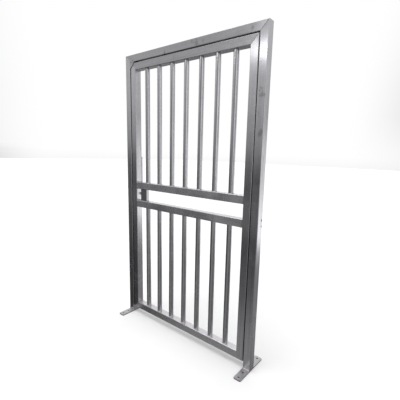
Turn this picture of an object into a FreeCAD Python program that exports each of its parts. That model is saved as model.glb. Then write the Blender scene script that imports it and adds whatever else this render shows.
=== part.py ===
import FreeCAD, Part
import os
import Sketcher

# Galvanised steel garden gate: a fixed frame on two foot plates and a hinged leaf with a slide bolt.
# Frame: X along the gate, Y from the front to the back, Z up, origin at the bottom centre.

SIZES = {
    "gate_width": 1180, "gate_height": 2000,
    "tube": 50, "wall": 3, "corner_radius": 3, "mitre_over": 2,
    "foot_length": 260, "foot_thickness": 8, "foot_corner": 8,
    "anchor_radius": 6, "anchor_outer": 110, "anchor_inner": 60,
    "hinge_gap": 5, "latch_gap": 10, "top_gap": 7, "leaf_bottom": 50, "leaf_back": 0.3,
    "upper_rail_top": 1086, "lower_rail_top": 946,
    "bar_radius": 16.85, "bar_wall": 2.6, "bar_pitch": 126,
    "chamfer_leg": 40, "plate": 3,
    "vent_back": 15, "vent_low": 916, "vent_low_radius": 4.5, "vent_high": 952, "vent_high_radius": 6.5,
    "barrel_radius": 9, "barrel_length": 45, "pin_radius": 6, "pin_play": 0.05, "washer": 2,
    "wing_width": 36, "wing_thickness": 4.2, "hinge_low": 250, "hinge_high": 1650,
    "block_gap": 40, "block_width": 65, "block_depth": 24, "block_front": -18,
    "bolt_front": 26, "bolt_thickness": 8, "bolt_height": 20, "bolt_length": 85.5,
    "bolt_middle": 991, "bolt_setback": 0.5,
    "staple_wall": 3, "staple_leg": 6, "guide_gap": 5, "guide_width": 40, "guide_play": 0.3,
    "keeper_gap": 14, "keeper_width": 20, "keeper_play": 1,
    "knob_from_end": 11, "stem_radius": 4, "stem_length": 7, "stud_radius": 3, "stud_length": 6,
    "grip_radius": 9, "grip_length": 14,
    "stop_width": 88, "stop_thickness": 6, "stop_bottom": 1076, "stop_height": 200,
}
BARS = 7

os.makedirs("parts", exist_ok=True)
doc = FreeCAD.newDocument("garden_gate")
sheet = doc.addObject("Spreadsheet::Sheet", "Params")
for row, (alias, number) in enumerate(SIZES.items(), start=1):
    sheet.set("A%d" % row, alias)
    sheet.set("B%d" % row, str(number))
    sheet.setAlias("B%d" % row, alias)
doc.recompute()


class Dim:
    """A size with its value and the sheet expression that drives it."""

    def __init__(self, value, text):
        self.value = float(value)
        self.text = text

    def __add__(self, other):
        other = as_dim(other)
        return Dim(self.value + other.value, "(%s + %s)" % (self.text, other.text))

    def __sub__(self, other):
        other = as_dim(other)
        return Dim(self.value - other.value, "(%s - %s)" % (self.text, other.text))

    def __mul__(self, other):
        other = as_dim(other)
        return Dim(self.value * other.value, "(%s * %s)" % (self.text, other.text))

    def __truediv__(self, other):
        other = as_dim(other)
        return Dim(self.value / other.value, "(%s / %s)" % (self.text, other.text))

    def __rsub__(self, other):
        return as_dim(other) - self

    def __neg__(self):
        return self * -1

    __radd__ = __add__
    __rmul__ = __mul__


def as_dim(value):
    if isinstance(value, Dim):
        return value
    return Dim(value, "(%s)" % value)


def size(alias):
    return Dim(SIZES[alias], "Params.%s" % alias)


NODES = []


def new_body(label, x=0, y=0, z=0):
    """A body whose local origin stands at x, y, z, driven by the sheet."""
    body = doc.addObject("PartDesign::Body", label)
    body.Label = label
    for axis, value in (("x", x), ("y", y), ("z", z)):
        body.setExpression("Placement.Base." + axis, as_dim(value).text)
    NODES.append(body)
    return body


def new_sketch(body, role, offset=0):
    sketch = body.newObject("Sketcher::SketchObject", body.Name + "_sketch")
    for feature in body.Origin.OriginFeatures:
        if feature.Role == role:
            sketch.AttachmentSupport = [(feature, "")]
    sketch.MapMode = "FlatFace"
    sketch.setExpression("AttachmentOffset.Base.z", as_dim(offset).text)
    return sketch


def pin_point(sketch, geometry, vertex, x, y):
    """Hold one point of a sketch at x, y."""
    for kind, value in (("DistanceX", as_dim(x)), ("DistanceY", as_dim(y))):
        index = sketch.addConstraint(Sketcher.Constraint(kind, -1, 1, geometry, vertex, value.value))
        sketch.setExpression("Constraints[%d]" % index, value.text)


def add_polygon(sketch, corners):
    first = sketch.GeometryCount
    count = len(corners)
    points = [FreeCAD.Vector(as_dim(x).value, as_dim(y).value, 0) for x, y in corners]
    for i in range(count):
        sketch.addGeometry(Part.LineSegment(points[i], points[(i + 1) % count]))
    for i in range(count):
        sketch.addConstraint(Sketcher.Constraint("Coincident", first + i, 2, first + (i + 1) % count, 1))
    for i, (x, y) in enumerate(corners):
        pin_point(sketch, first + i, 1, x, y)


def add_circle(sketch, x, y, radius):
    radius = as_dim(radius)
    centre = FreeCAD.Vector(as_dim(x).value, as_dim(y).value, 0)
    circle = sketch.addGeometry(Part.Circle(centre, FreeCAD.Vector(0, 0, 1), radius.value))
    pin_point(sketch, circle, 3, x, y)
    index = sketch.addConstraint(Sketcher.Constraint("Radius", circle, radius.value))
    sketch.setExpression("Constraints[%d]" % index, radius.text)


def rectangle(x0, y0, x1, y1):
    return [(x0, y0), (x1, y0), (x1, y1), (x0, y1)]


def pad(body, sketch, length, symmetric=False, reverse=False):
    feature = body.newObject("PartDesign::Pad", body.Name + "_pad")
    feature.Profile = sketch
    feature.Midplane = symmetric
    feature.Reversed = reverse
    feature.setExpression("Length", as_dim(length).text)
    sketch.Visibility = False
    doc.recompute()
    return feature


def pocket(body, sketch, length=None, symmetric=False, reverse=False):
    """Cut a sketch out of the body. It must take some material away."""
    before = body.Shape.Volume
    feature = body.newObject("PartDesign::Pocket", body.Name + "_pocket")
    feature.Profile = sketch
    feature.Midplane = symmetric
    feature.Reversed = reverse
    if length is None:
        feature.Type = "ThroughAll"
    else:
        feature.setExpression("Length", as_dim(length).text)
    sketch.Visibility = False
    doc.recompute()
    if body.Shape.Volume >= before - 0.001:
        raise RuntimeError("pocket removed nothing in " + body.Label)
    return feature


def fillet_along(body, direction, radius):
    """Round the straight edges of the tip that run along one direction."""
    tip = body.Tip
    names = []
    for index, edge in enumerate(tip.Shape.Edges, start=1):
        span = edge.Vertexes[-1].Point - edge.Vertexes[0].Point
        if span.Length > 1 and abs(abs(span.normalize().dot(direction)) - 1) < 1e-6:
            names.append("Edge%d" % index)
    feature = body.newObject("PartDesign::Fillet", body.Name + "_fillet")
    feature.Base = (tip, names)
    feature.setExpression("Radius", as_dim(radius).text)
    doc.recompute()


TUBE = size("tube")
HALF = TUBE / 2
WALL = size("wall")
OVER = size("mitre_over")
X_AXIS = FreeCAD.Vector(1, 0, 0)
Z_AXIS = FreeCAD.Vector(0, 0, 1)


def square_tube(label, length, x, y, z, upright):
    """A square tube on its own centre line, upright along Z or lying along X."""
    body = new_body(label, x, y, z)
    role = "XY_Plane" if upright else "YZ_Plane"
    outside = new_sketch(body, role)
    add_polygon(outside, rectangle(-HALF, -HALF, HALF, HALF))
    pad(body, outside, length)
    fillet_along(body, Z_AXIS if upright else X_AXIS, size("corner_radius"))
    inside = new_sketch(body, role)
    add_polygon(inside, rectangle(WALL - HALF, WALL - HALF, HALF - WALL, HALF - WALL))
    pocket(body, inside, reverse=True)
    return body


def cut_mitre(body, corner_x, corner_z, inward_x, inward_z, upright):
    """Cut one end at 45 degrees. The inward signs point from the outer corner into the frame."""
    near_x = corner_x - OVER * inward_x
    near_z = corner_z - OVER * inward_z
    far_x = corner_x + (TUBE + OVER) * inward_x
    far_z = corner_z + (TUBE + OVER) * inward_z
    third = (far_x, near_z) if upright else (near_x, far_z)
    sketch = new_sketch(body, "XZ_Plane")
    add_polygon(sketch, [(near_x, near_z), (far_x, far_z), third])
    pocket(body, sketch, symmetric=True)


# Fixed frame -----------------------------------------------------------------------------------
HALF_WIDTH = size("gate_width") / 2
FOOT = size("foot_thickness")
POST = size("gate_height") - FOOT
TOP = size("gate_height")
POST_X = HALF_WIDTH - HALF

left_post = square_tube("left_post", POST, -POST_X, 0, FOOT, True)
cut_mitre(left_post, -HALF, POST, 1, -1, True)
right_post = square_tube("right_post", POST, POST_X, 0, FOOT, True)
cut_mitre(right_post, HALF, POST, -1, -1, True)
lintel = square_tube("lintel", size("gate_width"), -HALF_WIDTH, 0, TOP - HALF, False)
cut_mitre(lintel, 0, HALF, 1, -1, False)
cut_mitre(lintel, size("gate_width"), HALF, -1, -1, False)

# Two vent holes in the outer wall of the hinge post, at mid-rail height.
vents = new_sketch(right_post, "YZ_Plane", HALF + 1)
add_circle(vents, size("vent_back"), size("vent_low") - FOOT, size("vent_low_radius"))
add_circle(vents, size("vent_back"), size("vent_high") - FOOT, size("vent_high_radius"))
pocket(right_post, vents, WALL + 2)


def foot_plate(label, x):
    body = new_body(label, x, 0, 0)
    outline = new_sketch(body, "XY_Plane")
    half_length = size("foot_length") / 2
    add_polygon(outline, rectangle(-HALF, -half_length, HALF, half_length))
    pad(body, outline, FOOT)
    fillet_along(body, Z_AXIS, size("foot_corner"))
    holes = new_sketch(body, "XY_Plane")
    for place in (size("anchor_outer"), size("anchor_inner")):
        add_circle(holes, 0, place, size("anchor_radius"))
        add_circle(holes, 0, -place, size("anchor_radius"))
    pocket(body, holes, reverse=True)


foot_plate("left_foot_plate", -POST_X)
foot_plate("right_foot_plate", POST_X)

# Leaf --------------------------------------------------------------------------------------------
LEAF_LEFT = TUBE + size("latch_gap") - HALF_WIDTH
LEAF_RIGHT = HALF_WIDTH - TUBE - size("hinge_gap")
LEAF_WIDTH = LEAF_RIGHT - LEAF_LEFT
LEAF_BOTTOM = size("leaf_bottom")
LEAF_TOP = TOP - TUBE - size("top_gap")
LEAF_HEIGHT = LEAF_TOP - LEAF_BOTTOM
LEAF_Y = size("leaf_back")
ROOT2 = 2 ** 0.5

left_stile = square_tube("left_stile", LEAF_HEIGHT, LEAF_LEFT + HALF, LEAF_Y, LEAF_BOTTOM, True)
cut_mitre(left_stile, -HALF, 0, 1, 1, True)
cut_mitre(left_stile, -HALF, LEAF_HEIGHT, 1, -1, True)
right_stile = square_tube("right_stile", LEAF_HEIGHT, LEAF_RIGHT - HALF, LEAF_Y, LEAF_BOTTOM, True)
cut_mitre(right_stile, HALF, 0, -1, 1, True)
cut_mitre(right_stile, HALF, LEAF_HEIGHT, -1, -1, True)
bottom_rail = square_tube("bottom_rail", LEAF_WIDTH, LEAF_LEFT, LEAF_Y, LEAF_BOTTOM + HALF, False)
cut_mitre(bottom_rail, 0, -HALF, 1, 1, False)
cut_mitre(bottom_rail, LEAF_WIDTH, -HALF, -1, 1, False)
top_rail = square_tube("top_rail", LEAF_WIDTH, LEAF_LEFT, LEAF_Y, LEAF_TOP - HALF, False)
cut_mitre(top_rail, 0, HALF, 1, -1, False)
cut_mitre(top_rail, LEAF_WIDTH, HALF, -1, -1, False)

INNER_WIDTH = LEAF_WIDTH - TUBE * 2
for label, rail_top in (("upper_mid_rail", "upper_rail_top"), ("lower_mid_rail", "lower_rail_top")):
    square_tube(label, INNER_WIDTH, LEAF_LEFT + TUBE, LEAF_Y, size(rail_top) - HALF, False)


def cut_chamfer(body, corner_x, corner_z):
    """Take the leaf's top latch corner off at 45 degrees, deep enough for its closing plate."""
    leg = size("chamfer_leg") + size("plate") * ROOT2
    sketch = new_sketch(body, "XZ_Plane")
    add_polygon(sketch, [
        (corner_x - OVER, corner_z - leg - OVER),
        (corner_x + leg + OVER, corner_z + OVER),
        (corner_x - OVER, corner_z + OVER),
    ])
    pocket(body, sketch, symmetric=True)


cut_chamfer(left_stile, -HALF, LEAF_HEIGHT)
cut_chamfer(top_rail, 0, HALF)

closing = new_body("corner_closing_plate", LEAF_LEFT, LEAF_Y, LEAF_TOP)
outline = new_sketch(closing, "XZ_Plane")
LEG = size("chamfer_leg")
DEEP_LEG = LEG + size("plate") * ROOT2
add_polygon(outline, [(0, -LEG), (LEG, 0), (DEEP_LEG, 0), (0, -DEEP_LEG)])
pad(closing, outline, TUBE, symmetric=True)

# The frame's gusset sits in its inner top corner, one gap away from the leaf's chamfer.
gusset = new_body("corner_gusset", TUBE - HALF_WIDTH, 0, TOP - TUBE)
GUSSET_LEG = LEG + size("latch_gap") + size("top_gap") - size("top_gap") * ROOT2
INNER_LEG = GUSSET_LEG - size("plate") * ROOT2
outline = new_sketch(gusset, "XZ_Plane")
add_polygon(outline, [(0, 0), (GUSSET_LEG, 0), (0, -GUSSET_LEG)])
pad(gusset, outline, TUBE, symmetric=True)
hollow = new_sketch(gusset, "XZ_Plane")
add_polygon(hollow, [(0, 0), (INNER_LEG, 0), (0, -INNER_LEG)])
pocket(gusset, hollow, TUBE - WALL * 2, symmetric=True)


def round_bar(label, x, bottom, top):
    body = new_body(label, x, LEAF_Y, bottom)
    sketch = new_sketch(body, "XY_Plane")
    add_circle(sketch, 0, 0, size("bar_radius"))
    add_circle(sketch, 0, 0, size("bar_radius") - size("bar_wall"))
    pad(body, sketch, top - bottom)


BAR_MIDDLE = (LEAF_LEFT + LEAF_RIGHT) / 2
for number in range(BARS):
    bar_x = BAR_MIDDLE + size("bar_pitch") * (number - (BARS - 1) // 2)
    round_bar("upper_bar_%d" % (number + 1), bar_x, size("upper_rail_top"), LEAF_TOP - TUBE)
    round_bar("lower_bar_%d" % (number + 1), bar_x, LEAF_BOTTOM + TUBE, size("lower_rail_top") - TUBE)

# Hinges: two lift-off hinges behind the narrow gap, their axis over its middle ---------------------
PIN_X = HALF_WIDTH - TUBE - size("hinge_gap") / 2
PIN_Y = HALF + LEAF_Y + size("barrel_radius")
BARREL = size("barrel_length")
BORE = size("pin_radius") + size("pin_play")
HINGE_WASHER = size("washer")


def hinge_half(label, z, side, face_y, bore_radius):
    """A barrel with a flat wing on its tube's back face; side +1 is the post, -1 the leaf."""
    body = new_body(label, PIN_X, PIN_Y, z)
    wing = new_sketch(body, "XY_Plane")
    back = face_y - PIN_Y
    add_polygon(wing, rectangle(0, back, size("wing_width") * side, back + size("wing_thickness")))
    pad(body, wing, BARREL)
    barrel = new_sketch(body, "XY_Plane")
    add_circle(barrel, 0, 0, size("barrel_radius"))
    pad(body, barrel, BARREL)
    bore = new_sketch(body, "XY_Plane")
    add_circle(bore, 0, 0, bore_radius)
    depth = BARREL if side > 0 else BARREL - 5
    pocket(body, bore, depth, reverse=True)


def washer(label, z):
    body = new_body(label, PIN_X, PIN_Y, z)
    sketch = new_sketch(body, "XY_Plane")
    add_circle(sketch, 0, 0, size("barrel_radius"))
    add_circle(sketch, 0, 0, BORE)
    pad(body, sketch, HINGE_WASHER)


def hinge_pin(label, z):
    body = new_body(label, PIN_X, PIN_Y, z)
    sketch = new_sketch(body, "XY_Plane")
    add_circle(sketch, 0, 0, size("pin_radius"))
    pad(body, sketch, BARREL * 2 - 5)


for word, z in (("lower", size("hinge_low")), ("upper", size("hinge_high"))):
    hinge_half(word + "_hinge_post_half", z, 1, HALF, size("pin_radius"))
    hinge_pin(word + "_hinge_pin", z)
    washer(word + "_hinge_washer", z + BARREL)
    leaf_half_z = z + BARREL + HINGE_WASHER + size("pin_play")
    hinge_half(word + "_hinge_leaf_half", leaf_half_z, -1, HALF + LEAF_Y, BORE)

# Closing stop: a flat bar on the latch stile's back that lands on the latch post -------------------
stop = new_body("stop_plate", LEAF_LEFT + TUBE - size("stop_width"), HALF + LEAF_Y, size("stop_bottom"))
outline = new_sketch(stop, "XY_Plane")
add_polygon(outline, rectangle(0, 0, size("stop_width"), size("stop_thickness")))
pad(stop, outline, size("stop_height"))

# Block: a short rectangular tube between the mid rails, beside the latch stile ----------------------
BLOCK_WIDTH = size("block_width")
BLOCK_DEPTH = size("block_depth")
block_z = size("lower_rail_top")
block = new_body("lock_block", LEAF_LEFT + TUBE + size("block_gap"), size("block_front"), block_z)
outline = new_sketch(block, "XY_Plane")
add_polygon(outline, rectangle(0, 0, BLOCK_WIDTH, BLOCK_DEPTH))
pad(block, outline, size("upper_rail_top") - TUBE - block_z)
fillet_along(block, Z_AXIS, size("corner_radius"))
hollow = new_sketch(block, "XY_Plane")
add_polygon(hollow, rectangle(WALL, WALL, BLOCK_WIDTH - WALL, BLOCK_DEPTH - WALL))
pocket(block, hollow, reverse=True)

# Slide bolt: it runs behind the stile, through a guide on the stile and into a keeper on the post ----
BOLT_Z = size("bolt_middle")
BOLT_X = LEAF_LEFT + size("bolt_setback")
BOLT_BACK = size("bolt_front") + size("bolt_thickness")


def staple(label, x, face_y, width, play):
    """A staple on a tube's back face, with room for the bolt between itself and the face."""
    inner = BOLT_BACK + play - face_y
    outer = inner + size("staple_wall")
    gap = size("bolt_height") / 2 + play
    reach = gap + size("staple_leg")
    body = new_body(label, x, face_y, BOLT_Z)
    sketch = new_sketch(body, "YZ_Plane")
    add_polygon(sketch, [
        (0, -reach), (outer, -reach), (outer, reach), (0, reach),
        (0, gap), (inner, gap), (inner, -gap), (0, -gap)])
    pad(body, sketch, width)


staple("bolt_guide", LEAF_LEFT + size("guide_gap"), HALF + LEAF_Y, size("guide_width"), size("guide_play"))
staple("bolt_keeper", LEAF_LEFT - size("keeper_gap") - size("keeper_width"), HALF,
       size("keeper_width"), size("keeper_play"))

KNOB_X = size("bolt_length") - size("knob_from_end")
bolt = new_body("lock_bolt", BOLT_X, size("bolt_front"), BOLT_Z)
outline = new_sketch(bolt, "XY_Plane")
add_polygon(outline, rectangle(0, 0, size("bolt_length"), size("bolt_thickness")))
pad(bolt, outline, size("bolt_height"), symmetric=True)
tap = new_sketch(bolt, "XZ_Plane", -size("bolt_thickness"))
add_circle(tap, KNOB_X, 0, size("stud_radius"))
pocket(bolt, tap, size("stud_length"), reverse=True)

knob = new_body("bolt_knob", BOLT_X + KNOB_X, BOLT_BACK, BOLT_Z)
stud = new_sketch(knob, "XZ_Plane", size("stud_length"))
add_circle(stud, 0, 0, size("stud_radius"))
pad(knob, stud, size("stud_length"), reverse=True)
stem = new_sketch(knob, "XZ_Plane")
add_circle(stem, 0, 0, size("stem_radius"))
pad(knob, stem, size("stem_length"), reverse=True)
grip = new_sketch(knob, "XZ_Plane", -size("stem_length"))
add_circle(grip, 0, 0, size("grip_radius"))
pad(knob, grip, size("grip_length"), reverse=True)

doc.recompute()

for item in doc.Objects:
    bad_state = any(word in item.State for word in ("Invalid", "Error"))
    shape = getattr(item, "Shape", None)
    is_solid_feature = item in NODES
    if bad_state or (is_solid_feature and (shape.isNull() or not shape.isValid())):
        raise RuntimeError("bad object " + item.Label)

for node in NODES:
    node.Shape.exportStep("parts/%s.step" % node.Label)
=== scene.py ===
import math
import random

import bpy
from mathutils import Matrix, Vector


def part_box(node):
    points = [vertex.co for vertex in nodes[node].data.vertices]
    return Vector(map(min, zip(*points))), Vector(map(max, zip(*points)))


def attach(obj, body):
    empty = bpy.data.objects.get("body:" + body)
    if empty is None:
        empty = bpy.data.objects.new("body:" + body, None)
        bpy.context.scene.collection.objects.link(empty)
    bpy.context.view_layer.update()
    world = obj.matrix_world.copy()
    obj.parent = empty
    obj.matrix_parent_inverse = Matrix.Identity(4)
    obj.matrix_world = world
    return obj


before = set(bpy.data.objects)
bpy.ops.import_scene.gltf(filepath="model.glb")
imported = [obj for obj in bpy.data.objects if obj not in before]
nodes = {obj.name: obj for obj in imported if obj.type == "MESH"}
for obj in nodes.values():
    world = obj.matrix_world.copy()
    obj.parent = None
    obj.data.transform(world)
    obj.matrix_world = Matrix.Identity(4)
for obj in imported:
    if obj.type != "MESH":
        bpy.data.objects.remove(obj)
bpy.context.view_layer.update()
random.seed(7)

MM = 0.001

# Camera: in front of the gate and to its right, at chest height, turned to the left ----------------
CAMERA_PLACE = (1.40222, -1.47909, 1.31915)
YAW = math.radians(37.093)
PITCH = math.radians(-9.811)
ROLL = math.radians(1.891)
FOCAL = 27.088
SENSOR = 36.0
SHIFT_X = -0.0441
SHIFT_Y = 0.0143
FAR_CLIP = 200


def link(name, data):
    item = bpy.data.objects.new(name, data)
    bpy.context.scene.collection.objects.link(item)
    return item


def add_camera():
    look = Vector((-math.sin(YAW) * math.cos(PITCH), math.cos(YAW) * math.cos(PITCH), math.sin(PITCH)))
    right = Vector((math.cos(YAW), math.sin(YAW), 0))
    up = right.cross(look)
    cam_x = right * math.cos(ROLL) + up * math.sin(ROLL)
    cam_y = up * math.cos(ROLL) - right * math.sin(ROLL)
    data = bpy.data.cameras.new("camera")
    camera = link("camera", data)
    turn = Matrix((cam_x, cam_y, -look)).transposed().to_4x4()
    camera.matrix_world = Matrix.Translation(CAMERA_PLACE) @ turn
    data.sensor_width = SENSOR
    data.lens = FOCAL
    data.shift_x = SHIFT_X
    data.shift_y = SHIFT_Y
    data.clip_end = FAR_CLIP
    bpy.context.scene.camera = camera


add_camera()
bpy.context.scene.view_settings.view_transform = "Standard"


# Node helpers -------------------------------------------------------------------------------------
class Nodes:
    """A short way to write a node tree."""

    def __init__(self, tree):
        self.tree = tree
        tree.nodes.clear()

    def add(self, kind, settings=None, **inputs):
        node = self.tree.nodes.new("ShaderNode" + kind)
        for key, value in (settings or {}).items():
            setattr(node, key, value)
        for key, value in inputs.items():
            self.put(node.inputs[key.replace("_", " ")], value)
        return node

    def put(self, socket, value):
        if isinstance(value, bpy.types.NodeSocket):
            self.tree.links.new(value, socket)
        else:
            socket.default_value = value

    def maths(self, operation, a, b):
        node = self.add("Math", {"operation": operation})
        self.put(node.inputs[0], a)
        self.put(node.inputs[1], b)
        return node.outputs[0]

    def remap(self, value, low, high, to_low, to_high, smooth=False):
        node = self.add("MapRange", {"interpolation_type": "SMOOTHSTEP" if smooth else "LINEAR"})
        for index, item in enumerate((value, low, high, to_low, to_high)):
            self.put(node.inputs[index], item)
        return node.outputs[0]

    def mix(self, factor, a, b, blend="MIX"):
        node = self.add("Mix", {"data_type": "RGBA", "blend_type": blend})
        self.put(node.inputs[0], factor)
        self.put(node.inputs[6], a)
        self.put(node.inputs[7], b)
        return node.outputs[2]

    def ramp(self, value, stops):
        node = self.add("ValToRGB")
        elements = node.color_ramp.elements
        while len(elements) < len(stops):
            elements.new(0.5)
        for element, (place, level) in zip(elements, stops):
            element.position = place
            element.color = (level, level, level, 1)
        self.put(node.inputs[0], value)
        return node.outputs[0]

    def object_place(self):
        return self.add("TexCoord").outputs["Object"]

    def vector(self, shift, scale):
        mapping = self.add("Mapping", Location=shift, Scale=scale)
        self.put(mapping.inputs[0], self.object_place())
        return mapping.outputs[0]

    def grey_of(self, tone):
        return self.add("CombineColor", Red=tone, Green=tone, Blue=tone).outputs[0]


def new_material(name):
    material = bpy.data.materials.new(name)
    material.use_nodes = True
    return material, Nodes(material.node_tree)


def finish_surface(n, shader):
    n.put(n.add("OutputMaterial").inputs["Surface"], shader.outputs[0])


def grey(level, warm=0.0):
    return (level * (1.005 + warm), level * 0.985, level * (1.02 - warm), 1)


# Zinc ---------------------------------------------------------------------------------------------
SPANGLE = 0.025
GROUND_SHADE_HEIGHT = 0.28
CREVICE_SHADE_REACH = 0.016


def zinc_noises(n, seed, along):
    """The textures of a zinc surface, shifted by the seed so that the members differ."""
    shift = (seed * 3.1, seed * 1.7, seed * 2.3)
    plain = n.vector(shift, (1, 1, 1))
    drawn = n.vector(shift, (95, 95, 2.0) if along == "Z" else (2.0, 95, 95))
    tall = n.vector((seed + 9, seed, seed), (1, 1, 0.5))
    other = n.vector((seed, seed + 5, seed), (1, 1, 1))
    return {
        "cells": n.add("TexVoronoi", Vector=plain, Scale=62.0, Randomness=1.0),
        "clouds": n.add("TexNoise", Vector=plain, Scale=5.5, Detail=7.0, Roughness=0.62, Distortion=0.6),
        "streaks": n.add("TexNoise", Vector=drawn, Scale=1.0, Detail=5.0, Roughness=0.6),
        "grain": n.add("TexNoise", Vector=plain, Scale=420.0, Detail=3.0, Roughness=0.7),
        "patches": n.add("TexNoise", Vector=tall, Scale=9.0, Detail=6.0, Roughness=0.7),
        "blooms": n.add("TexNoise", Vector=other, Scale=16.0, Detail=8.0, Roughness=0.75),
    }


def zinc_tone(n, noise):
    """Spangle, clouds and drawn streaks, as one factor near 1."""
    cell = n.add("SeparateColor", Color=noise["cells"].outputs["Color"]).outputs[0]
    flake = n.remap(cell, 0, 1, 1 - SPANGLE, 1 + SPANGLE)
    cloud = n.remap(noise["clouds"].outputs[0], 0.3, 0.7, 0.93, 1.07)
    streak = n.remap(noise["streaks"].outputs[0], 0.3, 0.7, 0.90, 1.10)
    return n.maths("MULTIPLY", n.maths("MULTIPLY", flake, cloud), streak)


def smudge_share(n, noise, place, size):
    """A ragged dark spot about one place, from 0 outside it to 0.55 in its middle."""
    away = n.add("VectorMath", {"operation": "SUBTRACT"})
    n.put(away.inputs[0], n.object_place())
    away.inputs[1].default_value = place
    reach = n.add("VectorMath", {"operation": "LENGTH"})
    n.put(reach.inputs[0], away.outputs[0])
    uneven = n.remap(noise["blooms"].outputs[0], 0.35, 0.65, -size * 1.3, size * 1.3)
    ragged = n.maths("ADD", reach.outputs["Value"], uneven)
    return n.remap(ragged, 0.0, size, 0.55, 0.0, smooth=True)


def zinc_color(n, noise, bloom, level, stains, smudges):
    """The tone, then stains, white bloom, painted shade darker towards the ground, smudges and painted shade
    in the crevices.
    """
    base = n.mix(1.0, grey(level, -0.012), n.grey_of(zinc_tone(n, noise)), "MULTIPLY")
    stain = n.remap(noise["patches"].outputs[0], 0.60, 0.74, 0.0, stains, smooth=True)
    base = n.mix(stain, base, grey(level * 0.42, 0.03))
    base = n.mix(bloom, base, grey(min(0.8, level * 1.35), 0.0))

    # Painted shade: the colour darkens towards the ground, in place of the dark ground that the lower faces
    # mirror.
    height = n.add("SeparateXYZ", Vector=n.object_place()).outputs["Z"]
    near_ground = n.remap(height, 0.0, GROUND_SHADE_HEIGHT, 0.45, 0.0, smooth=True)
    painted_ground_shade = n.maths("MULTIPLY", near_ground, n.remap(noise["clouds"].outputs[0], 0.35, 0.65, 0.5, 1.0))
    base = n.mix(painted_ground_shade, base, grey(level * 0.62, 0.05))
    for place, size in smudges:
        base = n.mix(smudge_share(n, noise, place, size), base, grey(level * 0.40, 0.02))

    # Painted shade: ambient occlusion darkens the colour in crevices, gaps, seams and where the feet meet
    # the floor.
    occlusion = n.add("AmbientOcclusion", {"samples": 8}, Distance=CREVICE_SHADE_REACH)
    painted_crevice_shade = n.remap(occlusion.outputs["AO"], 0.30, 0.72, 0.85, 0.0, smooth=True)
    return n.mix(painted_crevice_shade, base, grey(level * 0.22, 0.02))


def zinc_roughness(n, noise, bloom, roughness):
    cloudy = n.remap(noise["clouds"].outputs[0], 0.3, 0.7, roughness - 0.04, roughness + 0.07)
    rough = n.maths("ADD", cloudy, n.maths("MULTIPLY", bloom, 0.4))
    return n.maths("ADD", rough, n.remap(noise["grain"].outputs[0], 0.3, 0.7, -0.03, 0.03))


def zinc_relief(n, noise):
    """Three bumps, one over another: drawn streaks and clouds, spangle, grain."""
    streaks = n.maths("MULTIPLY", noise["streaks"].outputs[0], 0.5)
    relief = n.maths("ADD", streaks, n.maths("MULTIPLY", noise["clouds"].outputs[0], 1.6))
    coarse = n.add("Bump", Strength=0.10, Distance=0.0010, Height=relief)
    flakes = noise["cells"].outputs["Distance"]
    facet = n.add("Bump", Strength=0.03, Distance=0.0005, Height=flakes, Normal=coarse.outputs[0])
    grain = noise["grain"].outputs[0]
    return n.add("Bump", Strength=0.08, Distance=0.0002, Height=grain, Normal=facet.outputs[0]).outputs[0]


def zinc(name, level, roughness=0.21, along="Z", seed=0, stains=0.4, brushed=0.55, smudges=()):
    """Hot-dip galvanised steel, drawn along one axis."""
    material, n = new_material(name)
    noise = zinc_noises(n, seed, along)
    bloom = n.remap(noise["blooms"].outputs[0], 0.64, 0.80, 0.0, 0.3, smooth=True)
    shader = n.add(
        "BsdfPrincipled",
        Base_Color=zinc_color(n, noise, bloom, level, stains, smudges),
        Roughness=zinc_roughness(n, noise, bloom, roughness),
        Metallic=1.0,
        Normal=zinc_relief(n, noise),
        Anisotropic=brushed,
    )
    tangent = n.add("Tangent", {"direction_type": "RADIAL", "axis": along})
    n.put(shader.inputs["Tangent"], tangent.outputs[0])
    finish_surface(n, shader)
    return material


def steel(name, color, roughness, along="Z"):
    """Bright or brass parts: turned or drawn marks over a slightly uneven tone."""
    material, n = new_material(name)
    stretch = (1, 1, 0.05) if along == "Z" else (0.05, 1, 1)
    drawn = n.vector((0, 0, 0), stretch)
    marks = n.add("TexNoise", Vector=drawn, Scale=500.0, Detail=4.0, Roughness=0.6)
    plain = n.vector((3, 1, 2), (1, 1, 1))
    spots = n.add("TexNoise", Vector=plain, Scale=70.0, Detail=5.0, Roughness=0.6)
    tone = n.remap(spots.outputs[0], 0.3, 0.7, 0.72, 1.12)
    base = n.mix(1.0, (*color, 1), n.grey_of(tone), "MULTIPLY")
    rough = n.remap(spots.outputs[0], 0.3, 0.7, roughness - 0.06, roughness + 0.12)
    bump = n.add("Bump", Strength=0.2, Distance=0.0002, Height=marks.outputs[0]).outputs[0]
    finish_surface(n, n.add("BsdfPrincipled", Base_Color=base, Roughness=rough, Metallic=1.0, Normal=bump))
    return material


# What each piece wears ----------------------------------------------------------------------------
ROW = range(1, 8)


def dress(names, material):
    for name in names:
        for slot in nodes[name].material_slots:
            slot.material = material


def on_front(name, along_x, along_z, size):
    """A smudge on a member's front face, at a share of its width and height."""
    low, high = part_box(name)
    return ((low.x + (high.x - low.x) * along_x, low.y, low.z + (high.z - low.z) * along_z), size)


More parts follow.
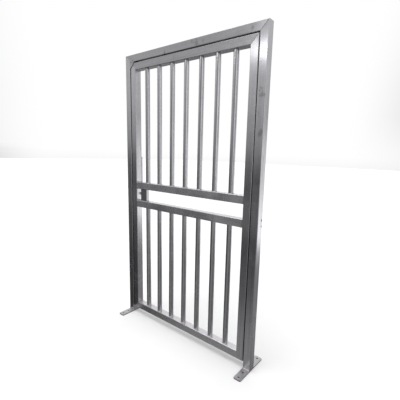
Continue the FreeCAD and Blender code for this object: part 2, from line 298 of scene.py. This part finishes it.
post_smudges = [
    on_front("right_post", 0.55, 0.82, 0.022),
    on_front("right_post", 0.35, 0.76, 0.018),
    on_front("right_post", 0.60, 0.715, 0.016),
]
lintel_smudges = [
    on_front("lintel", 0.58, 0.55, 0.024),
    on_front("lintel", 0.63, 0.40, 0.017),
    on_front("lintel", 0.92, 0.50, 0.020),
]
posts = zinc("zinc_posts", 0.66, seed=1, brushed=0.8, smudges=post_smudges)
lintel_zinc = zinc("zinc_lintel", 0.53, along="X", seed=2, stains=0.85, smudges=lintel_smudges)
stiles = zinc("zinc_stiles", 0.66, seed=3, brushed=0.8)
rails = zinc("zinc_rails", 0.72, roughness=0.26, along="X", seed=4, brushed=0.85)
top_zinc = zinc("zinc_top_rail", 0.58, roughness=0.26, along="X", seed=11, brushed=0.85)
bars_even = zinc("zinc_bars_even", 0.64, roughness=0.17, seed=5, stains=0.6, brushed=0.3)
bars_odd = zinc("zinc_bars_odd", 0.60, roughness=0.20, seed=8, stains=0.6, brushed=0.3)
plates = zinc("zinc_plates", 0.52, roughness=0.36, along="X", seed=6, stains=0.7, brushed=0.2)
block_zinc = zinc("zinc_lock_block", 0.50, roughness=0.20, seed=7, stains=0.6, brushed=0.5)
hinge_zinc = zinc("zinc_hinges", 0.50, roughness=0.34, seed=9, brushed=0.1)
weld_zinc = zinc("zinc_welds", 0.50, roughness=0.28, along="X", seed=10, stains=0.25, brushed=0.0)
bright = steel("bright_steel", (0.62, 0.62, 0.61), 0.25, along="X")
brass = steel("brass", (0.72, 0.50, 0.24), 0.30)

dress(["left_post", "right_post"], posts)
dress(["lintel", "corner_gusset"], lintel_zinc)
dress(["left_stile", "right_stile"], stiles)
dress(["top_rail"], top_zinc)
dress(["bottom_rail", "upper_mid_rail", "lower_mid_rail"], rails)
dress(["left_foot_plate", "right_foot_plate", "corner_closing_plate"], plates)
dress(["stop_plate", "bolt_keeper", "bolt_guide"], plates)
dress(["lock_block"], block_zinc)
dress(["lock_bolt", "bolt_knob"], bright)
for number in ROW:
    dress(["upper_bar_%d" % number, "lower_bar_%d" % number], bars_odd if number % 2 else bars_even)
for level in ("lower", "upper"):
    dress([level + "_hinge_post_half", level + "_hinge_leaf_half"], hinge_zinc)
    dress([level + "_hinge_pin"], bright)
    dress([level + "_hinge_washer"], brass)


# Weld beads ---------------------------------------------------------------------------------------
# Each section is a bead's half width and how far it stands out, in millimetres.
CORNER_SEAM = (1.9, 0.45)
GUSSET_SEAM = (2.2, 0.5)
CLOSING_SEAM = (1.8, 0.5)
RAIL_SEAM = (2.0, 0.6)
RAIL_FILLET = (2.0, 1.7)
BACK_FILLET = (2.0, 1.8)
STOP_FILLET = (2.2, 1.8)
BAR_FILLET = (2.3, 2.0)
FOOT_FILLET = (3.2, 2.6)


class Beads:
    """Weld beads gathered into one mesh: rippled ridges along straight lines and round rings."""

    SIDES = 8
    STEP = 1.1 * MM
    RIPPLE = 2.6 * MM
    FEWEST = 6

    def __init__(self):
        self.vertices = []
        self.faces = []

    def sweep(self, path, normal_of, section, closed):
        """Sweep an oval along a path; normal_of gives the way that the bead stands out."""
        wide, proud = (size * MM for size in section)
        first = len(self.vertices)
        count = len(path)
        phase = random.uniform(0, math.tau)
        run = 0.0
        for i, point in enumerate(path):
            ahead = path[(i + 1) % count] if closed or i + 1 < count else point
            behind = path[i - 1] if closed or i > 0 else point
            tangent = (ahead - behind).normalized()
            normal = normal_of(point)
            side = tangent.cross(normal).normalized()
            run += (ahead - point).length
            ripple = abs(math.sin(run / self.RIPPLE * math.pi + phase))
            swell = 1 + 0.16 * ripple + random.uniform(-0.07, 0.07)
            if not closed:
                ends = min(i, count - 1 - i) / 3
                swell *= min(1.0, 0.45 + 0.55 * ends)
            wander = side * random.uniform(-0.06, 0.06) * wide
            for k in range(self.SIDES):
                angle = math.tau * k / self.SIDES
                offset = side * (math.cos(angle) * wide * swell) + normal * (math.sin(angle) * proud * swell)
                self.vertices.append(point + offset + wander)
        self.skin(first, count, closed)

    def skin(self, first, count, closed):
        """Join the rings of vertices, and cap both ends of an open bead."""
        for i in range(count if closed else count - 1):
            a = first + i * self.SIDES
            b = first + ((i + 1) % count) * self.SIDES
            for k in range(self.SIDES):
                m = (k + 1) % self.SIDES
                self.faces.append((a + k, a + m, b + m, b + k))
        if not closed:
            last = first + (count - 1) * self.SIDES
            self.faces.append(tuple(first + k for k in reversed(range(self.SIDES))))
            self.faces.append(tuple(last + k for k in range(self.SIDES)))

    def line(self, a, b, normal, section):
        a = Vector(a)
        b = Vector(b)
        count = max(self.FEWEST, int((b - a).length / self.STEP))
        path = [a.lerp(b, i / (count - 1)) for i in range(count)]
        direction = Vector(normal).normalized()
        self.sweep(path, lambda point: direction, section, False)

    def ring(self, centre, radius, lift, section):
        """A fillet ring round an upright bar; lift is +1 on top of a rail and -1 under one."""
        centre = Vector(centre)
        count = int(math.tau * radius / self.STEP)
        path = []
        for i in range(count):
            angle = math.tau * i / count
            path.append(centre + Vector((math.cos(angle), math.sin(angle), 0)) * radius)

        def outward(point):
            return ((point - centre).normalized() + Vector((0, 0, lift))).normalized()

        self.sweep(path, outward, section, True)

    def build(self, name, body, material):
        mesh = bpy.data.meshes.new(name)
        mesh.from_pydata([tuple(v) for v in self.vertices], [], self.faces)
        mesh.validate()
        for polygon in mesh.polygons:
            polygon.use_smooth = True
        mesh.materials.append(material)
        piece = link(name, mesh)
        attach(piece, body)


low_lintel, high_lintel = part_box("lintel")
TUBE = high_lintel.z - low_lintel.z
SEAM_START = 0.004
SEAM_SHORT = 0.006
SEAM = (SEAM_START, TUBE - SEAM_SHORT)
# The leaf's upper latch-side corner is cut off, so its seam starts further in.
CUT_CORNER = 0.020
CUT_SEAM = (SEAM_START + CUT_CORNER, TUBE - SEAM_SHORT - CUT_CORNER)


def corner_seams(beads, corner_x, corner_z, inward_x, inward_z, y_front, y_back, seam):
    """The mitre seam of a tube corner, on its front and back faces; seam is its start and length."""
    start, length = seam
    for y, side in ((y_front, -1), (y_back, 1)):
        a = (corner_x + inward_x * start, y, corner_z + inward_z * start)
        b = (corner_x + inward_x * (start + length), y, corner_z + inward_z * (start + length))
        beads.line(a, b, (0, side, 0), CORNER_SEAM)


def over_and_under(beads, low_x, high_x, y, low_z, high_z, section):
    """Fillets along the bottom and top edges of a piece that stands on a back face."""
    for z, lift in ((low_z, -1), (high_z, 1)):
        beads.line((low_x, y, z), (high_x, y, z), (0, 1, lift), section)


# The fixed frame's welds: corners, feet, gusset, hinge halves and keeper.
FOOT_INSET = 0.003
GUSSET_INSET = 0.003
POST_HALF_WELD = 0.026
POST_HALF_INSET = 0.002
END_INSET = 0.001
low_post, high_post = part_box("left_post")
low_right, high_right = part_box("right_post")
FRONT = low_post.y
BACK = high_post.y
foot_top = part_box("left_foot_plate")[1].z

frame_beads = Beads()
corner_seams(frame_beads, low_lintel.x, high_lintel.z, 1, -1, FRONT, BACK, SEAM)
corner_seams(frame_beads, high_lintel.x, high_lintel.z, -1, -1, FRONT, BACK, SEAM)
for low, high in ((low_post, high_post), (low_right, high_right)):
    for y, side in ((FRONT, -1), (BACK, 1)):
        a = (low.x + FOOT_INSET, y, foot_top)
        b = (high.x - FOOT_INSET, y, foot_top)
        frame_beads.line(a, b, (0, side, 1), FOOT_FILLET)

low_gusset, high_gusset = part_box("corner_gusset")
for y, side in ((FRONT, -1), (BACK, 1)):
    corner = (low_gusset.x, y, high_gusset.z - GUSSET_INSET)
    foot = (low_gusset.x, y, low_gusset.z + GUSSET_INSET)
    frame_beads.line(corner, foot, (0, side, 0), GUSSET_SEAM)
    corner = (low_gusset.x + GUSSET_INSET, y, high_gusset.z)
    tip = (high_gusset.x - GUSSET_INSET, y, high_gusset.z)
    frame_beads.line(corner, tip, (0, side, 0), GUSSET_SEAM)
for level in ("lower", "upper"):
    low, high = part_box(level + "_hinge_post_half")
    over_and_under(
        frame_beads, high.x - POST_HALF_WELD, high.x - POST_HALF_INSET, BACK, low.z, high.z, BACK_FILLET)
    a = (high.x, BACK, low.z + END_INSET)
    b = (high.x, BACK, high.z - END_INSET)
    frame_beads.line(a, b, (1, 1, 0), BACK_FILLET)
low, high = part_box("bolt_keeper")
over_and_under(frame_beads, low.x + END_INSET, high.x - END_INSET, BACK, low.z, high.z, BACK_FILLET)
frame_beads.build("frame_weld_beads", "frame", weld_zinc)

# The leaf's welds: corners, mid rails, bars, closing plate, stop plate, hinge halves, block and guide.
RAIL_INSET = 0.002
RAIL_DEPTH_INSET = 0.003
CLOSING_INSET = 0.004
STITCH = 0.03
STITCH_INSET = 0.01
STOP_EDGE_INSET = 0.001
STOP_INSET = 0.006
LEAF_HALF_INSET = 0.002
LEAF_HALF_WELD = 0.022
BLOCK_INSET = 0.002
low_stile, high_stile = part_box("left_stile")
low_bottom, high_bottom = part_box("bottom_rail")
low_top, high_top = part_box("top_rail")
LEAF_FRONT = low_stile.y
LEAF_BACK = high_stile.y
LEAF_FACES = ((LEAF_FRONT, -1), (LEAF_BACK, 1))

leaf_beads = Beads()
corner_seams(leaf_beads, low_bottom.x, low_bottom.z, 1, 1, LEAF_FRONT, LEAF_BACK, SEAM)
corner_seams(leaf_beads, high_bottom.x, low_bottom.z, -1, 1, LEAF_FRONT, LEAF_BACK, SEAM)
corner_seams(leaf_beads, high_top.x, high_top.z, -1, -1, LEAF_FRONT, LEAF_BACK, SEAM)
corner_seams(leaf_beads, low_stile.x, high_top.z, 1, -1, LEAF_FRONT, LEAF_BACK, CUT_SEAM)

for name in ("upper_mid_rail", "lower_mid_rail"):
    low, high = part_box(name)
    for x, side in ((low.x, 1), (high.x, -1)):
        for y, out in LEAF_FACES:
            a = (x, y, low.z + RAIL_INSET)
            b = (x, y, high.z - RAIL_INSET)
            leaf_beads.line(a, b, (0, out, 0), RAIL_SEAM)
        for z, lift in ((low.z, -1), (high.z, 1)):
            a = (x, LEAF_FRONT + RAIL_DEPTH_INSET, z)
            b = (x, LEAF_BACK - RAIL_DEPTH_INSET, z)
            leaf_beads.line(a, b, (side, 0, lift), RAIL_FILLET)

for number in ROW:
    for word in ("upper", "lower"):
        low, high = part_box("%s_bar_%d" % (word, number))
        middle_x = (low.x + high.x) / 2
        middle_y = (low.y + high.y) / 2
        radius = (high.x - low.x) / 2
        leaf_beads.ring((middle_x, middle_y, low.z), radius, 1, BAR_FILLET)
        leaf_beads.ring((middle_x, middle_y, high.z), radius, -1, BAR_FILLET)

low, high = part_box("corner_closing_plate")
for y, out in LEAF_FACES:
    a = (low.x, y, low.z + CLOSING_INSET)
    b = (high.x - CLOSING_INSET, y, high.z)
    leaf_beads.line(a, b, (0, out, 0), CLOSING_SEAM)

low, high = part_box("stop_plate")
stitch_x = high.x - STOP_EDGE_INSET
middle_stitch = (low.z + high.z) / 2 - STITCH / 2
for z in (low.z + STITCH_INSET, middle_stitch, high.z - STITCH_INSET - STITCH):
    leaf_beads.line((stitch_x, LEAF_BACK, z), (stitch_x, LEAF_BACK, z + STITCH), (1, 1, 0), STOP_FILLET)
over_and_under(
    leaf_beads, low_stile.x + STOP_INSET, high.x - STOP_INSET, LEAF_BACK, low.z, high.z, STOP_FILLET)

for level in ("lower", "upper"):
    low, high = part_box(level + "_hinge_leaf_half")
    over_and_under(
        leaf_beads, low.x + LEAF_HALF_INSET, low.x + LEAF_HALF_WELD, LEAF_BACK, low.z, high.z, BACK_FILLET)
    a = (low.x, LEAF_BACK, low.z + END_INSET)
    b = (low.x, LEAF_BACK, high.z - END_INSET)
    leaf_beads.line(a, b, (-1, 1, 0), BACK_FILLET)

low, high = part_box("lock_block")
for z, lift in ((low.z, 1), (high.z, -1)):
    for y, out in ((low.y, -1), (high.y, 1)):
        a = (low.x + BLOCK_INSET, y, z)
        b = (high.x - BLOCK_INSET, y, z)
        leaf_beads.line(a, b, (0, out, lift), RAIL_FILLET)
    for x, out in ((low.x, -1), (high.x, 1)):
        a = (x, low.y + BLOCK_INSET, z)
        b = (x, high.y - BLOCK_INSET, z)
        leaf_beads.line(a, b, (out, 0, lift), RAIL_FILLET)

low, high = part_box("bolt_guide")
over_and_under(leaf_beads, low.x + END_INSET, high.x - END_INSET, LEAF_BACK, low.z, high.z, BACK_FILLET)
leaf_beads.build("leaf_weld_beads", "leaf", weld_zinc)


# Studio: a small softbox for the highlight, a wide overhead sun and a plain pale floor -------------
SOFTBOX_PLACE = Vector((-0.85, -3.0, 2.90))
SOFTBOX_TARGET = Vector((0.5, 0, 1.9))
SOFTBOX_SIZE = (0.26, 0.16)
SOFTBOX_POWER = 2.0
SUN_ENERGY = 1.3
SUN_SPREAD = math.radians(50)
SUN_TURN = (math.radians(14), math.radians(-12), 0)
SPAN = 40.0

softbox_data = bpy.data.lights.new("softbox", "AREA")
softbox_data.shape = "RECTANGLE"
softbox_data.size, softbox_data.size_y = SOFTBOX_SIZE
softbox_data.energy = SOFTBOX_POWER
softbox = link("softbox", softbox_data)
softbox.location = SOFTBOX_PLACE
softbox.rotation_euler = (SOFTBOX_TARGET - SOFTBOX_PLACE).to_track_quat("-Z", "Y").to_euler()

sun_data = bpy.data.lights.new("overhead", "SUN")
sun_data.energy = SUN_ENERGY
sun_data.angle = SUN_SPREAD
link("overhead", sun_data).rotation_euler = SUN_TURN

floor_mesh = bpy.data.meshes.new("floor")
floor_corners = [(-SPAN, -SPAN, 0), (SPAN, -SPAN, 0), (SPAN, SPAN, 0), (-SPAN, SPAN, 0)]
floor_mesh.from_pydata(floor_corners, [], [(0, 1, 2, 3)])
floor = link("floor", floor_mesh)
floor.visible_glossy = False
floor_material, fn = new_material("floor")
floor_noise = fn.add("TexNoise", Vector=fn.vector((0, 0, 0), (1, 1, 1)), Scale=1.5, Detail=3.0)
floor_color = fn.grey_of(fn.remap(floor_noise.outputs[0], 0.3, 0.7, 0.86, 0.90))
finish_surface(fn, fn.add("BsdfPrincipled", Base_Color=floor_color, Roughness=0.9))
floor_mesh.materials.append(floor_material)


# World: what the metal mirrors --------------------------------------------------------------------
# The surroundings in front of the gate and behind it stand on planes along it, so they go by slope
# (height over depth), not by angle. The same height is then equally bright on every member.
world = bpy.data.worlds.new("studio")
world.use_nodes = True
bpy.context.scene.world = world
wn = Nodes(world.node_tree)
axes = wn.add("SeparateXYZ", Vector=wn.add("TexCoord").outputs["Generated"])
LEAST_DEPTH = 0.05


def facing(direction, start, end):
    """How far the sky direction lies towards one compass direction, from 0 to 1."""
    east = wn.maths("MULTIPLY", axes.outputs[0], direction[0])
    north = wn.maths("MULTIPLY", axes.outputs[1], direction[1])
    return wn.remap(wn.maths("ADD", east, north), start, end, 0.0, 1.0, smooth=True)


def slope_over(depth):
    steepness = wn.maths("DIVIDE", axes.outputs[2], wn.maths("MAXIMUM", depth, LEAST_DEPTH))
    return wn.remap(steepness, -1.0, 1.0, 0.0, 1.0)


height = wn.remap(axes.outputs[2], -1.0, 1.0, 0.0, 1.0)
open_sky = wn.ramp(height, [(0.0, 0.14), (0.35, 0.15), (0.46, 0.85), (0.50, 1.0), (1.0, 1.0)])
near_side = wn.ramp(height, [(0.0, 0.34), (0.45, 0.26), (0.52, 0.30), (1.0, 0.50)])

slope = slope_over(wn.maths("MULTIPLY", axes.outputs[1], -1.0))
dark_side = wn.ramp(slope, [
    (0.0, 0.34), (0.12, 0.28), (0.17, 0.17), (0.24, 0.10), (0.31, 0.065), (0.345, 0.075), (0.377, 0.19),
    (0.41, 0.09), (0.46, 0.10), (0.49, 0.18), (0.52, 0.33), (0.59, 0.44), (0.62, 0.54), (1.0, 0.6)])
shaded = wn.maths(
    "MULTIPLY", wn.remap(axes.outputs[0], -0.72, -0.56, 1.0, 0.0, smooth=True),
    wn.remap(slope, 0.21, 0.245, 1.0, 0.0, smooth=True))
dark_side = wn.mix(shaded, dark_side, grey(0.02))

back_slope = slope_over(axes.outputs[1])
bright_side = wn.ramp(back_slope, [
    (0.0, 0.30), (0.12, 0.26), (0.24, 0.24), (0.285, 0.30), (0.315, 0.45), (0.335, 1.55), (0.36, 1.5),
    (0.39, 1.08), (0.45, 0.86), (0.51, 0.80), (0.56, 0.50), (0.60, 0.50), (0.65, 0.60), (1.0, 0.7)])

tone = wn.mix(facing((-0.62, -0.78), 0.25, 0.66), open_sky, dark_side)
tone = wn.mix(facing((0.66, 0.75), 0.55, 0.85), tone, bright_side)
tone = wn.mix(facing((0.29, -0.957), 0.72, 0.93), tone, near_side)
background = wn.add("Background", Color=tone, Strength=1.0)
wn.put(wn.add("OutputWorld").inputs["Surface"], background.outputs[0])
